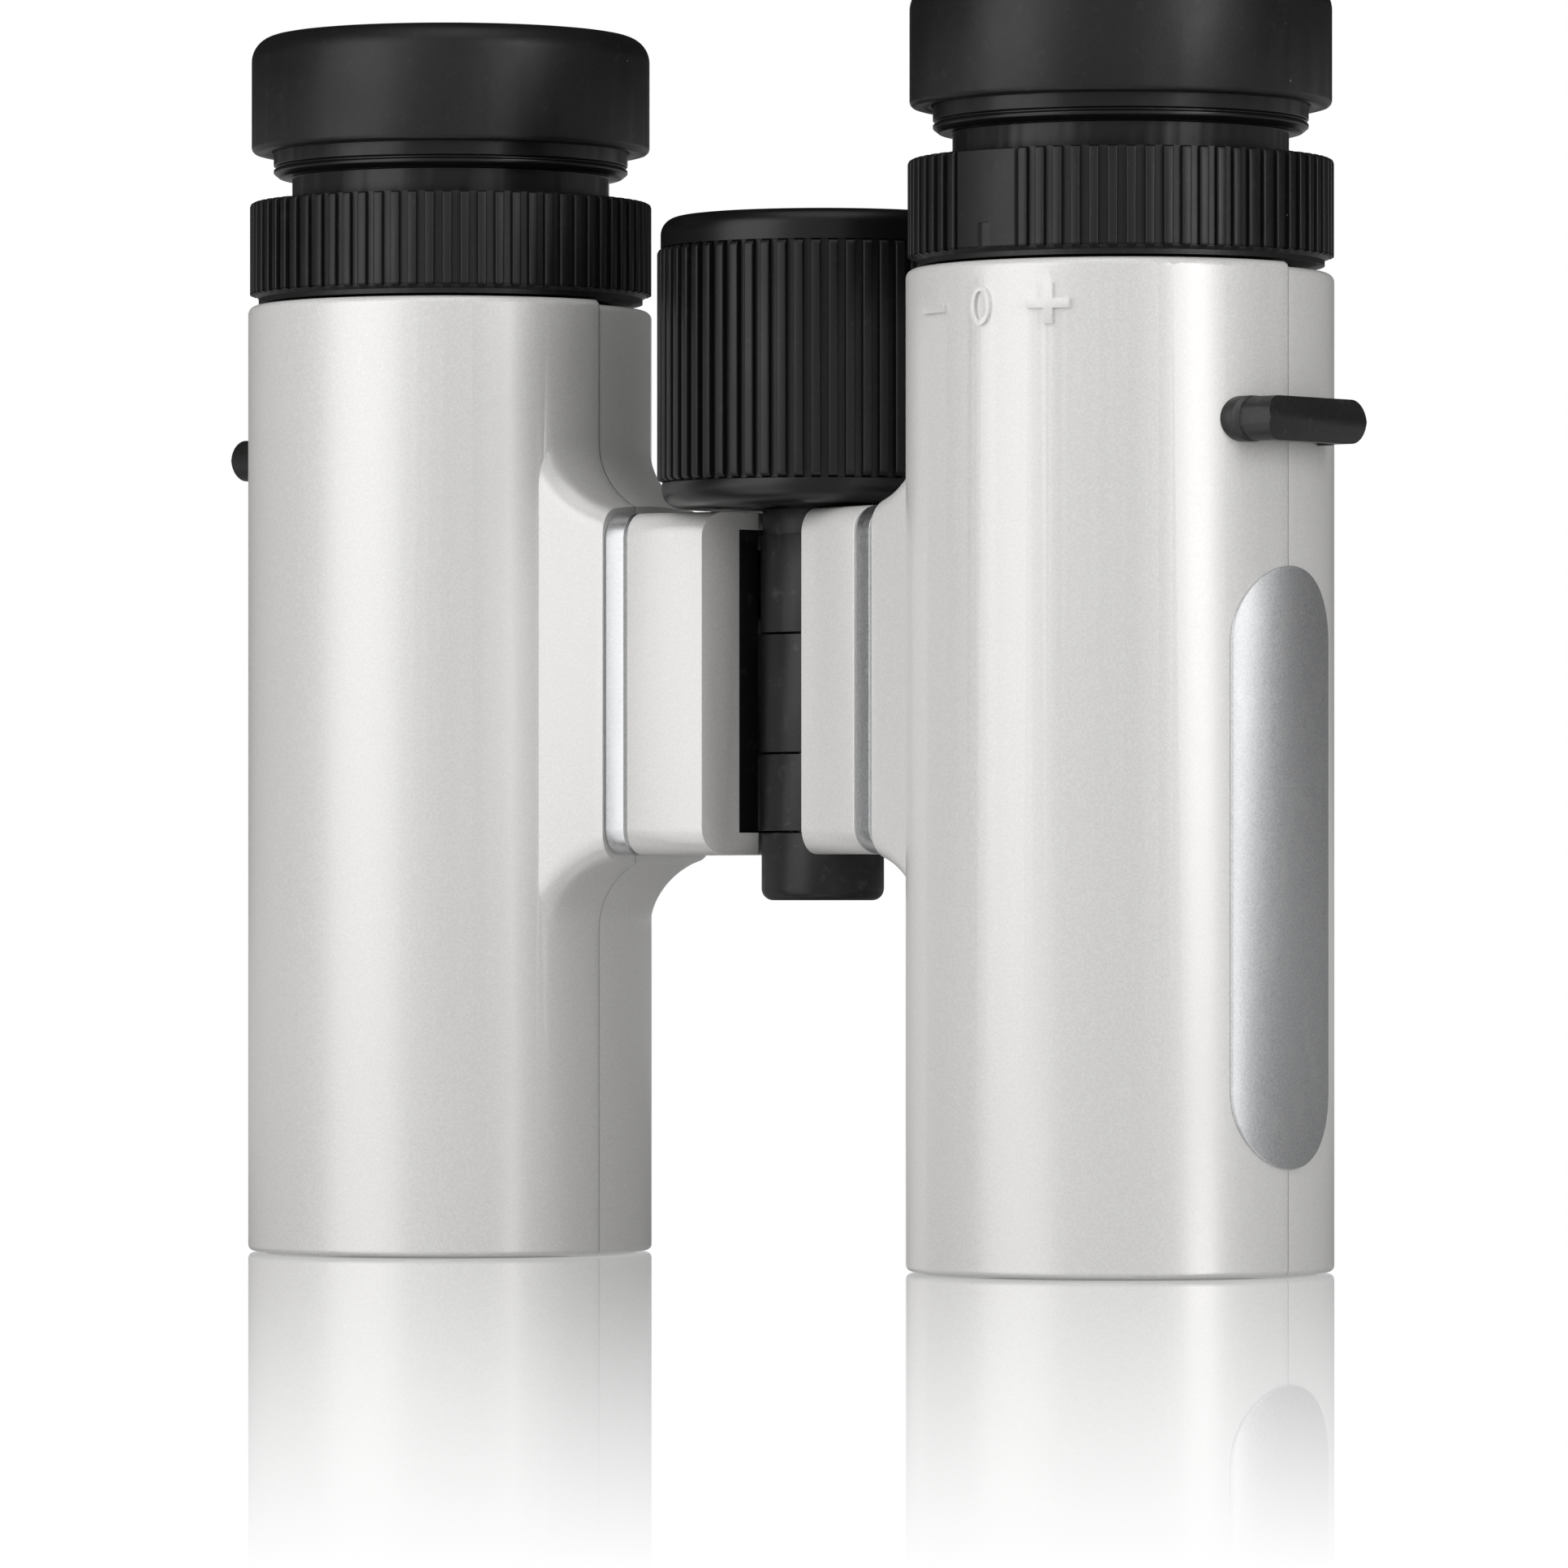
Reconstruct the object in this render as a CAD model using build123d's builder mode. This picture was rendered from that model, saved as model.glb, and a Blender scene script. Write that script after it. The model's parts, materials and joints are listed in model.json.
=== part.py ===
"""Compact roof-prism binoculars standing on their objective ends, eyepieces up.

+Z runs along the optical axes towards the eyepieces, +X towards the user's right barrel and +Y
towards the top side, where the hinge axis lies. The origin is the centre of the bounding box's
bottom face, on the plane that the two objective rims stand on.

Every piece of a half is made on the right-hand side. The left half is its mirror image in the
YZ plane, which holds the hinge axis. Millimetres throughout.
"""
import os
from math import atan2, cos, degrees, hypot, pi, radians, sin, tan

from build123d import *

# ---- Driving dimensions -------------------------------------------------------------------
EYE_DISTANCE = 75.2          # between the barrel axes, hinge fully open
HINGE_RISE = 6.0             # hinge axis above the plane of the barrel axes
BARREL_RADIUS = 17.5         # belly shell, outside
SHELL_WALL = 1.5
SHELL_STEP = 0.12            # the top shell is this much smaller in radius
RIM_TOP = 81.5               # eyepiece end of the belly shell
RIM_STEP = 0.4               # the top shell stops this much lower
MARK_HEIGHT = 0.3            # raised diopter marks

ARM_LOW, ARM_HIGH = 34.05, 62.95    # hinge arms, along Z
ARM_HALF_DEPTH = 8.1                # at the arm's end; the arm thickens towards the barrel
ARM_TAPER = 0.045                   # growth of the half depth along the arm
ARM_CORNER = 2.2
FLARE_REACH, FLARE_RISE = 8.0, 6.3  # ellipse by which the arm runs out into the barrel
BAND_FAR, BAND_NEAR = 16.65, 14.25   # silver band, distances from the hinge axis
BAND_BEVEL = 0.35
WINDOW_HALF_DEPTH = 4.35            # hollow through the arm
WINDOW_LOW, WINDOW_HIGH = 35.9, 61.5
NOSE_SLOPE = 20.0                   # the arm ends slope back from their middle
NOSE_EDGE = 6.92                    # belly edge of the arm's end, from the hinge axis
NOSE_CLEARANCE = 0.2                # lips of the cap, round the knuckles

KNUCKLE_RADIUS = 5.25
KNUCKLE_CLEARANCE = 0.4
NECK_BELLY, NECK_TOP = 1.8, 3.7     # the knuckles' necks stand back from the belly side
ARM_SETBACK = 0.7                   # of the hinge arm's end behind the cap's
LOW_KNUCKLE = (36.05, 42.47)        # left half
MID_KNUCKLE = (42.67, 52.56)        # right half
HIGH_KNUCKLE = (52.76, 60.95)       # left half
PIN_RADIUS = 2.5
BUSH_RADIUS = 3.2
BUSH_LOW = 51.0
ROD_RADIUS, GROOVE_RADIUS = 2.3, 1.5
COLLAR_RADIUS = 5.1                 # of the bush, on top of the arms
FRONT_CAP_LOW, PIN_FOOT, PIN_SHOULDER, PIN_TOP = 30.2, 31.6, 35.9, 44.3
PIN_FOOT_RADIUS = 1.6
RUNNING = 0.06                      # radial clearance of a running fit

LINK_HALF_WIDTH = 1.4
LINK_SLOT_HALF = 1.8
LINK_HEIGHT = 2.4
LINK_PLAY = 0.2                     # above and below a link at the ends of its travel
POST_NEAR, POST_FAR = 18.2, 20.4    # the link's upright part, from the hinge axis
FOCUS_TRAVEL = 1.5                  # each way
LEFT_LINK_LOW, RIGHT_LINK_LOW = 55.7, 46.8
CELL_LOW, CELL_HIGH = 36.0, 41.0    # focusing cell inside the barrel
CELL_RADIUS, CELL_BORE = 14.4, 9.7
OBJECTIVE_RADIUS, OBJECTIVE_LOW, OBJECTIVE_HIGH = 13.5, 6.0, 10.1
FRONT_CELL_TOP, FRONT_CELL_BORE = 14.0, 12.5
CAP_SEAT_RADIUS, CAP_SEAT_LOW, CAP_SEAT_HIGH = 14.8, 0.8, 2.8    # where a lens cap pushes in
PRISM_HALF, PRISM_LOW, PRISM_HIGH = 9.5, 48.2, 69.8
HOLDER_LOW, HOLDER_HIGH = 46.0, 72.0
HOLDER_MOUTH_LOW, HOLDER_MOUTH_HIGH = 8.6, 7.6    # radii of its round openings

WHEEL_RADIUS = 14.0
WHEEL_ROOT = 13.4
WHEEL_RIB_SHARE = 0.55
WHEEL_RIBS = 60
WHEEL_LOW, GRIP_LOW, GRIP_HIGH, WHEEL_HIGH = 63.3, 65.4, 85.2, 87.8
WHEEL_ROUNDING = 1.5                # of the edges at the wheel's ends
GRIP_BORE, GRIP_CHAMFER = 12.9, 0.6
HUB_INSIDE, BOSS_RADIUS = 11.4, 6.4
JOURNAL_RADIUS, JOURNAL_TOP = 4.2, 68.6
NUT_RADIUS, THREAD_RADIUS, NUT_LOW, NUT_TOP = 5.15, 4.0, 69.2, 82.4
THREAD_LOW, THREAD_TOP = 71.0, 79.0

RING_RADIUS = 17.35                 # knurled ring under each eyecup
RING_ROOT = 16.9
FIELD_RADIUS = 17.2                 # smooth field with the index line
RING_RIBS = 72
RING_RIB_SHARE = 0.52
RING_LOW, RING_HIGH = 81.75, 90.4
RING_BORE, RING_HOLLOW = 13.9, 15.6
CAM_LOW, CAM_HIGH = 84.4, 89.2
SLEEVE_RADIUS, SLEEVE_BORE, SLEEVE_TOP = 13.7, 12.7, 92.6
CUP_RADIUS, CUP_LOW, CUP_TOP = 17.2, 94.7, 104.8
CUP_EDGE, CUP_LIP = 2.2, 1.2        # roundings outside and inside the rim
CUP_INSIDE = 12.1
CORE_RADIUS, CORE_TOP = 15.3, 102.4 # of the carrier inside the rubber
EYEPIECE_RADIUS, EYEPIECE_BORE = 12.55, 11.3
EYEPIECE_LOW, FLANGE_TOP, EYEPIECE_TOP = 72.2, 80.9, 98.2
EYE_LENS_RADIUS, EYE_LENS_SEAT, EYE_LENS_END = 10.5, 92.4, 96.0
EYE_STOP_RADIUS, EYE_STOP_LOW = 9.6, 91.2
FIELD_LENS_RADIUS = 9.75

LUG_Z, LUG_HEIGHT = 68.65, 3.66
LUG_REACH = 20.6                    # outer face from the barrel axis
LUG_PAD, LUG_PAD_LENGTH = 1.0, 13.9
LUG_BAR, LUG_BAR_LENGTH, LUG_GAP_HALF = 1.5, 12.4, 4.4
LUG_RIDGE = 0.35                    # rise of the bar's face to the ridge along its middle
BADGE_LOW, BADGE_HIGH, BADGE_WIDTH, BADGE_THICK = 8.6, 57.0, 12.3, 0.3
MARK_Z, MINUS_ANGLE, PLUS_ANGLE = 77.8, -18.8, 20.5
INDEX_Z, INDEX_WIDTH, INDEX_HEIGHT, INDEX_FIELD = 83.5, 0.9, 2.0, 20.0
EYECUP_FOOT = 83.3

SCREW_Z, SCREW_OFFSET, SCREW_RADIUS = 44.2, 6.3, 0.8
SCREW_NEAR, SCREW_FAR = 9.0, 22.9   # ends of the shank, from the hinge axis

# ---- Derived places -----------------------------------------------------------------------
BARREL_X = EYE_DISTANCE / 2
HINGE_Y = (BARREL_RADIUS + MARK_HEIGHT + HINGE_RISE - WHEEL_RADIUS) / 2
BARREL_Y = HINGE_Y - HINGE_RISE
ARM_LENGTH = hypot(BARREL_X, HINGE_RISE)
ARM_TILT = degrees(atan2(HINGE_RISE, BARREL_X))
BARREL_INSIDE = BARREL_RADIUS - SHELL_WALL

BARREL = Plane((BARREL_X, BARREL_Y, 0))
HINGE = Plane((0, HINGE_Y, 0))
# Along the right arm: X from the hinge axis towards the barrel axis, Y towards the top side.
ARM = Plane((0, HINGE_Y, 0), x_dir=(BARREL_X, -HINGE_RISE, 0), z_dir=(0, 0, 1))
PARTING = Plane((0, BARREL_Y, 0), x_dir=(1, 0, 0), z_dir=(0, -1, 0))


# ---- Helpers ------------------------------------------------------------------------------
# Each adds to, cuts from or limits the part that is being built.
def turn(points, at=BARREL, mode=Mode.ADD):
    """A solid of revolution about the Z axis through at, from (radius, z) points."""
    with BuildSketch(upright(at), mode=Mode.PRIVATE) as profile:
        with BuildLine():
            Polyline(*points, close=True)
        make_face()
    revolve(profile.sketch, axis=Axis(at.origin, (0, 0, 1)), mode=mode)


def tube(outer, inner, low, high, at=BARREL, mode=Mode.ADD):
    turn([(inner, low), (outer, low), (outer, high), (inner, high)], at, mode)


def disc(radius, low, high, at=BARREL, mode=Mode.ADD):
    turn([(0, low), (radius, low), (radius, high), (0, high)], at, mode)


def arm_block(near, far, half_depth, low, high, mode=Mode.ADD):
    """A box along the arm, between two distances from the hinge axis."""
    with BuildSketch(ARM.offset(low), mode=Mode.PRIVATE) as plan:
        with Locations(((near + far) / 2, 0)):
            Rectangle(far - near, 2 * half_depth)
    extrude(plan.sketch, amount=high - low, mode=mode)


def screw_shafts(mode):
    """The shanks of an arm's two screws, or the holes for them."""
    with BuildSketch(arm_section(SCREW_NEAR), mode=Mode.PRIVATE) as shanks:
        with Locations(*[(side * SCREW_OFFSET, SCREW_Z) for side in (-1, 1)]):
            Circle(SCREW_RADIUS)
    extrude(shanks.sketch, amount=SCREW_FAR - SCREW_NEAR, mode=mode)


def ribs(rib_radius, root_radius, number, share, low, high, at, field=0.0):
    """A ribbed cylinder: share is the part of each pitch that the rib takes, and field is the
    angle about -Y that has no ribs."""
    rib_width = share * 2 * pi * rib_radius / number
    pitch = 360 / number
    kept = number - round(field / pitch)
    with BuildSketch(at.offset(low), mode=Mode.PRIVATE) as outline:
        Circle(root_radius)
        for rib in range(kept):
            turned_by = -90 + field / 2 + (rib + 0.5) * pitch
            with Locations(Location(polar(root_radius, turned_by), turned_by)):
                Rectangle(2 * (rib_radius - root_radius), rib_width)
    extrude(outline.sketch, amount=high - low)


def upright(at):
    """The vertical plane through at whose X is a radius and whose Y is the height."""
    return Plane(at.origin, x_dir=(1, 0, 0), z_dir=(0, -1, 0))


def arm_section(distance):
    """The plane across the arm at a distance from the hinge axis: X towards the top side."""
    origin = ARM.from_local_coords((distance, 0, 0))
    return Plane(origin, x_dir=ARM.y_dir, z_dir=ARM.x_dir)


def half_depth_at(distance):
    """Half depth of the tapered arm at a distance from the hinge axis."""
    return ARM_HALF_DEPTH + ARM_TAPER * (distance - NOSE_EDGE)


def tapered_plan(near, far, setback=0.0):
    """Plan of a stretch of arm, whose sides spread towards the barrel."""
    near_half, far_half = half_depth_at(near) - setback, half_depth_at(far) - setback
    return [(near, near_half), (far, far_half), (far, -far_half), (near, -near_half)]


def nose_line(depth, setback=0.0):
    """Distance of the arm's sloping end from the hinge axis, at a depth from the mid-plane."""
    return NOSE_EDGE + setback - (ARM_HALF_DEPTH - depth) * tan(radians(NOSE_SLOPE))


def polar(radius, angle):
    return (radius * cos(radians(angle)), radius * sin(radians(angle)))


# ---- Housing shells -----------------------------------------------------------------------
def housing(step, rim):
    """Both shells of the right half in one. step is how far the surface is set back."""
    radius = BARREL_RADIUS - step
    low, high = ARM_LOW - FLARE_RISE, ARM_HIGH + FLARE_RISE
    flare_end = radius + FLARE_REACH
    core, beyond = 5, 40            # radii well inside the barrel and past the arm's near end
    with BuildPart() as shell:
        # The stub that carries the arm flares out into the barrel above and below.
        with BuildSketch(upright(BARREL)):
            with BuildLine():
                EllipticalCenterArc((flare_end, low), FLARE_REACH, FLARE_RISE, 90, arc_size=90)
                EllipticalCenterArc((flare_end, high), FLARE_REACH, FLARE_RISE, 180, arc_size=90)
                Polyline(
                    (radius, low), (radius, low - 2), (core, low - 2), (core, high + 2),
                    (radius, high + 2), (radius, high),
                )
                Polyline(
                    (flare_end, ARM_LOW), (beyond, ARM_LOW), (beyond, ARM_HIGH),
                    (flare_end, ARM_HIGH),
                )
            make_face()
        revolve(axis=Axis(BARREL.origin, (0, 0, 1)))
        with BuildSketch(ARM):
            with BuildLine():
                Polyline(*tapered_plan(BAND_FAR, ARM_LENGTH - 6, step), close=True)
            make_face()
        extrude(amount=2 * ARM_HIGH, mode=Mode.INTERSECT)
        flares = shell.faces().filter_by(GeomType.REVOLUTION).edges()
        sides = shell.faces().filter_by(GeomType.PLANE).filter_by(
            lambda face: abs(face.normal_at().dot(ARM.y_dir)) > 0.9
        ).edges()
        fillet([edge for edge in flares if edge in sides], ARM_CORNER)
        disc(radius, 0, rim)
        round_edges = shell.edges().filter_by(GeomType.CIRCLE).filter_by(
            lambda e: abs(e.radius - radius) < 0.01
        )
        fillet(round_edges.sort_by(Axis.Z)[-1], 0.7)
        fillet(shell.edges().sort_by(Axis.Z)[0], 0.5)
        disc(BARREL_INSIDE, 0, rim, mode=Mode.SUBTRACT)
        arm_block(
            BAND_FAR - 1, ARM_LENGTH - 6, WINDOW_HALF_DEPTH, WINDOW_LOW, WINDOW_HIGH,
            Mode.SUBTRACT,
        )
        screw_shafts(Mode.SUBTRACT)
    return shell


def diopter_marks():
    """Raised minus, nought and plus signs under the diopter ring."""
    for turned_by, sign in ((MINUS_ANGLE, "minus"), (0, "nought"), (PLUS_ANGLE, "plus")):
        angle = radians(turned_by - 90)
        outward = Vector(cos(angle), sin(angle), 0)
        face = Plane(
            BARREL.origin + outward * (BARREL_INSIDE + 0.5) + Vector(0, 0, MARK_Z),
            x_dir=(-sin(angle), cos(angle), 0), z_dir=outward,
        )
        with BuildSketch(face, mode=Mode.PRIVATE) as mark:
            if sign == "nought":
                Ellipse(1.0, 1.6)
                Ellipse(0.55, 1.15, mode=Mode.SUBTRACT)
            elif sign == "plus":
                Rectangle(3.6, 0.78)
                Rectangle(0.78, 3.3)
            else:
                Rectangle(3.3, 0.7)
        extrude(mark.sketch, amount=BARREL_RADIUS + MARK_HEIGHT - BARREL_INSIDE - 0.5)


def belly_shell(marked):
    whole = housing(0, RIM_TOP).part
    with BuildPart() as shell:
        add(whole)
        split(bisect_by=PARTING, keep=Keep.TOP)
        if marked:
            diopter_marks()
    return shell


def top_shell():
    whole = housing(SHELL_STEP, RIM_TOP - RIM_STEP).part
    with BuildPart() as shell:
        add(whole)
        split(bisect_by=PARTING, keep=Keep.BOTTOM)
    return shell


# ---- Arms ---------------------------------------------------------------------------------
def long_edges(block):
    """The four long edges of a piece of arm, at the corners of its section."""
    return block.edges().filter_by(
        lambda e: abs(e.tangent_at(0.5).dot(ARM.x_dir)) > 0.99 and abs(e.tangent_at(0.5).Z) < 0.01
    )


def arm_band():
    """The silver plate between the shell and the arm's cap, with bevelled edges."""
    with BuildPart() as band:
        with BuildSketch(ARM.offset(ARM_LOW)):
            with BuildLine():
                Polyline(*tapered_plan(BAND_NEAR, BAND_FAR), close=True)
            make_face()
        extrude(amount=ARM_HIGH - ARM_LOW)
        fillet(long_edges(band), ARM_CORNER)
        ends = band.faces().filter_by(Plane(ARM.origin, z_dir=ARM.x_dir))
        chamfer(ends.edges(), BAND_BEVEL)
        arm_block(0, ARM_LENGTH, WINDOW_HALF_DEPTH, WINDOW_LOW, WINDOW_HIGH, Mode.SUBTRACT)
        screw_shafts(Mode.SUBTRACT)
    return band


def arm_cap():
    """The white end of an arm: a sleeve round the hinge arm, with lips above and below it."""
    with BuildPart() as cap:
        with BuildSketch(ARM.offset(ARM_LOW)):
            with BuildLine():
                Polyline((nose_line(0), 0), *tapered_plan(NOSE_EDGE, BAND_NEAR), close=True)
            make_face()
        extrude(amount=ARM_HIGH - ARM_LOW)
        fillet(long_edges(cap), ARM_CORNER)
        disc(KNUCKLE_RADIUS + NOSE_CLEARANCE, 0, 2 * ARM_HIGH, HINGE, Mode.SUBTRACT)
        arm_block(0, ARM_LENGTH, WINDOW_HALF_DEPTH, WINDOW_LOW, WINDOW_HIGH, Mode.SUBTRACT)
        screw_shafts(Mode.SUBTRACT)
    return cap


def hinge_arm(knuckles, link_low, bore_clearance):
    """The black structural arm: a slotted block whose end carries the hinge knuckles."""
    low, high = LOW_KNUCKLE[0], WINDOW_HIGH
    neck_far = 8.5
    slot_low = CELL_LOW - FOCUS_TRAVEL + 1.4
    slot_high = LEFT_LINK_LOW + LINK_HEIGHT + FOCUS_TRAVEL + LINK_PLAY
    with BuildPart() as arm:
        with BuildSketch(ARM.offset(low)):
            with BuildLine():
                edge, far = nose_line(WINDOW_HALF_DEPTH, ARM_SETBACK), SCREW_FAR - 4.3
                Polyline(
                    (nose_line(0, ARM_SETBACK), 0), (edge, WINDOW_HALF_DEPTH),
                    (far, WINDOW_HALF_DEPTH), (far, -WINDOW_HALF_DEPTH),
                    (edge, -WINDOW_HALF_DEPTH), close=True,
                )
            make_face()
        extrude(amount=high - low)
        disc(KNUCKLE_RADIUS + KNUCKLE_CLEARANCE, 0, 2 * ARM_HIGH, HINGE, Mode.SUBTRACT)
        for bottom, top in knuckles:
            disc(KNUCKLE_RADIUS, bottom, top, HINGE)
            with BuildSketch(ARM.offset(bottom)):
                with Locations((1.5, -NECK_BELLY)):
                    Rectangle(neck_far - 1.5, NECK_BELLY + NECK_TOP, align=(Align.MIN, Align.MIN))
            extrude(amount=top - bottom)
        # The slot for the focusing link is high behind the knuckles and low through them.
        arm_block(neck_far - 1.5, ARM_LENGTH, LINK_SLOT_HALF, slot_low, slot_high, Mode.SUBTRACT)
        arm_block(
            0, ARM_LENGTH, LINK_SLOT_HALF, link_low - FOCUS_TRAVEL - LINK_PLAY,
            link_low + LINK_HEIGHT + FOCUS_TRAVEL + LINK_PLAY, Mode.SUBTRACT,
        )
        disc(PIN_RADIUS + bore_clearance, 0, BUSH_LOW, HINGE, Mode.SUBTRACT)
        disc(BUSH_RADIUS + bore_clearance, BUSH_LOW, 2 * ARM_HIGH, HINGE, Mode.SUBTRACT)
    return arm


def arm_screws():
    """Two headless screws that hold the band and the cap to the shell."""
    with BuildPart() as screws:
        screw_shafts(Mode.ADD)
    return screws


# ---- Hinge axis ---------------------------------------------------------------------------
def hinge_pin():
    """The stepped pin of the lower pivot."""
    with BuildPart() as pin:
        turn([
            (0, PIN_FOOT), (PIN_FOOT_RADIUS, PIN_FOOT), (PIN_FOOT_RADIUS, PIN_SHOULDER),
            (PIN_RADIUS, PIN_SHOULDER), (PIN_RADIUS, PIN_TOP), (0, PIN_TOP),
        ], HINGE)
    return pin


def hinge_front_cap():
    """The rounded cap below the arms, over the foot of the hinge pin."""
    with BuildPart() as cap:
        disc(KNUCKLE_RADIUS - 0.08, FRONT_CAP_LOW, PIN_SHOULDER, HINGE)
        fillet(cap.edges().sort_by(Axis.Z)[0], 1.0)
        disc(PIN_FOOT_RADIUS, PIN_FOOT, PIN_TOP, HINGE, Mode.SUBTRACT)
    return cap


def hinge_bush():
    """The hollow upper pivot: journal for the wheel, collar on the arms, guide for the rod."""
    bore, collar_low, collar_high = ROD_RADIUS + RUNNING, HIGH_KNUCKLE[1], WHEEL_LOW - 0.2
    slot_low, slot_height = LEFT_LINK_LOW - FOCUS_TRAVEL, LINK_HEIGHT + 2 * FOCUS_TRAVEL
    with BuildPart() as bush:
        turn([
            (bore, BUSH_LOW), (BUSH_RADIUS, BUSH_LOW), (BUSH_RADIUS, collar_low),
            (COLLAR_RADIUS, collar_low), (COLLAR_RADIUS, collar_high),
            (JOURNAL_RADIUS, collar_high), (JOURNAL_RADIUS, JOURNAL_TOP), (bore, JOURNAL_TOP),
        ], HINGE)
        # The opening on the left side, for the left barrel's link.
        with BuildSketch(Plane((0, HINGE_Y, slot_low - LINK_PLAY))):
            Rectangle(6, 2 * LINK_SLOT_HALF, rotation=ARM_TILT, align=(Align.MAX, Align.CENTER))
        extrude(amount=slot_height + 2 * LINK_PLAY, mode=Mode.SUBTRACT)
    return bush


# ---- Focusing -----------------------------------------------------------------------------
def focus_rod():
    """The rod that the wheel's nut lifts, with a groove for each barrel's link."""
    with BuildPart() as rod:
        disc(ROD_RADIUS, RIGHT_LINK_LOW - 0.8, THREAD_LOW, HINGE)
        for low in (RIGHT_LINK_LOW, LEFT_LINK_LOW):
            tube(
                ROD_RADIUS + 1, GROOVE_RADIUS, low - 0.1, low + LINK_HEIGHT + 0.1, HINGE,
                Mode.SUBTRACT,
            )
        disc(THREAD_RADIUS, THREAD_LOW, THREAD_TOP, HINGE)
    return rod


def focus_nut():
    """The nut inside the wheel that drives the rod's thread."""
    with BuildPart() as nut:
        tube(NUT_RADIUS, THREAD_RADIUS + RUNNING, NUT_LOW, NUT_TOP, HINGE)
    return nut


def focus_wheel_hub():
    """The wheel's core: a floor with a rounded collar, an outer wall and the boss for the nut."""
    collar, floor = WHEEL_RADIUS - 0.4, GRIP_LOW + 0.2
    with BuildPart() as hub:
        turn([
            (0, WHEEL_LOW), (collar, WHEEL_LOW), (collar, GRIP_LOW), (GRIP_BORE, GRIP_LOW),
            (GRIP_BORE, GRIP_HIGH), (HUB_INSIDE, GRIP_HIGH), (HUB_INSIDE, floor),
            (BOSS_RADIUS, floor), (BOSS_RADIUS, NUT_TOP), (0, NUT_TOP),
        ], HINGE)
        fillet(hub.edges().group_by(Axis.Z)[0], WHEEL_ROUNDING)
        disc(JOURNAL_RADIUS + RUNNING, 0, NUT_LOW, HINGE, Mode.SUBTRACT)
        disc(NUT_RADIUS, NUT_LOW, WHEEL_HIGH, HINGE, Mode.SUBTRACT)
    return hub


def focus_wheel_grip():
    """The ribbed rubber sleeve, its ribs chamfered at both ends."""
    outside = WHEEL_RADIUS + 0.1
    with BuildPart() as grip:
        ribs(
            WHEEL_RADIUS, WHEEL_ROOT, WHEEL_RIBS, WHEEL_RIB_SHARE, GRIP_LOW, GRIP_HIGH, HINGE,
        )
        turn([
            (GRIP_BORE, GRIP_LOW), (WHEEL_ROOT, GRIP_LOW), (outside, GRIP_LOW + GRIP_CHAMFER),
            (outside, GRIP_HIGH - GRIP_CHAMFER), (WHEEL_ROOT, GRIP_HIGH), (GRIP_BORE, GRIP_HIGH),
        ], HINGE, Mode.INTERSECT)
    return grip


def focus_wheel_cap():
    """The wheel's rounded lid, with a skirt that fits inside the hub's wall."""
    with BuildPart() as cap:
        disc(WHEEL_RADIUS - 0.3, GRIP_HIGH, WHEEL_HIGH, HINGE)
        fillet(cap.edges().group_by(Axis.Z)[-1], WHEEL_ROUNDING)
        tube(HUB_INSIDE, HUB_INSIDE - 1.8, GRIP_HIGH - 1.6, GRIP_HIGH, HINGE)
    return cap


def focus_link(link_low):
    """The slider that joins the rod's groove to the focusing cell inside the barrel."""
    foot, top = CELL_LOW + 1.6, link_low + LINK_HEIGHT
    with BuildPart() as link:
        tube(CELL_RADIUS, CELL_BORE, CELL_LOW, CELL_HIGH)
        arm_block(GROOVE_RADIUS + 0.15, POST_FAR, LINK_HALF_WIDTH, link_low, top)
        arm_block(POST_NEAR, POST_FAR, LINK_HALF_WIDTH, foot, top)
        arm_block(POST_NEAR, ARM_LENGTH - 13.5, LINK_HALF_WIDTH, foot, CELL_HIGH - 1)
    return link


# ---- Optics -------------------------------------------------------------------------------
def lens(radius, low, high, low_bulge, high_bulge):
    """A lens whose edge runs from low to high. A negative bulge makes that face hollow."""
    with BuildPart() as glass:
        disc(radius, low - max(low_bulge, 0), high + max(high_bulge, 0))
        for edge, bulge, way in ((low, low_bulge, -1), (high, high_bulge, 1)):
            sphere = (radius**2 + bulge**2) / (2 * abs(bulge))
            outwards = way if bulge > 0 else -way
            centre = edge + way * bulge - outwards * sphere
            with Locations(BARREL.origin + Vector(0, 0, centre)):
                Sphere(sphere, mode=Mode.INTERSECT if bulge > 0 else Mode.SUBTRACT)
    return glass


def objective_cell():
    """The black cell in the barrel's front: a seat for a cap, steps, and the lens's place."""
    shoulder = OBJECTIVE_HIGH + 0.1
    inner_step, inner_radius = CAP_SEAT_HIGH + 1.0, 14.0
    outer_step, outer_radius = CAP_SEAT_HIGH + 0.5, 14.4
    with BuildPart() as cell:
        turn([
            (BARREL_INSIDE, CAP_SEAT_LOW), (BARREL_INSIDE, FRONT_CELL_TOP),
            (FRONT_CELL_BORE, FRONT_CELL_TOP), (FRONT_CELL_BORE, shoulder),
            (OBJECTIVE_RADIUS, shoulder), (OBJECTIVE_RADIUS, inner_step),
            (inner_radius, inner_step), (inner_radius, outer_step), (outer_radius, outer_step),
            (outer_radius, CAP_SEAT_HIGH), (CAP_SEAT_RADIUS, CAP_SEAT_HIGH),
            (CAP_SEAT_RADIUS, CAP_SEAT_LOW),
        ])
    return cell


def objective_ring():
    """The ring that holds the objective lens in its cell."""
    with BuildPart() as ring:
        tube(OBJECTIVE_RADIUS, FRONT_CELL_BORE + 0.1, OBJECTIVE_LOW - 2, OBJECTIVE_LOW - 0.2)
    return ring


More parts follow.
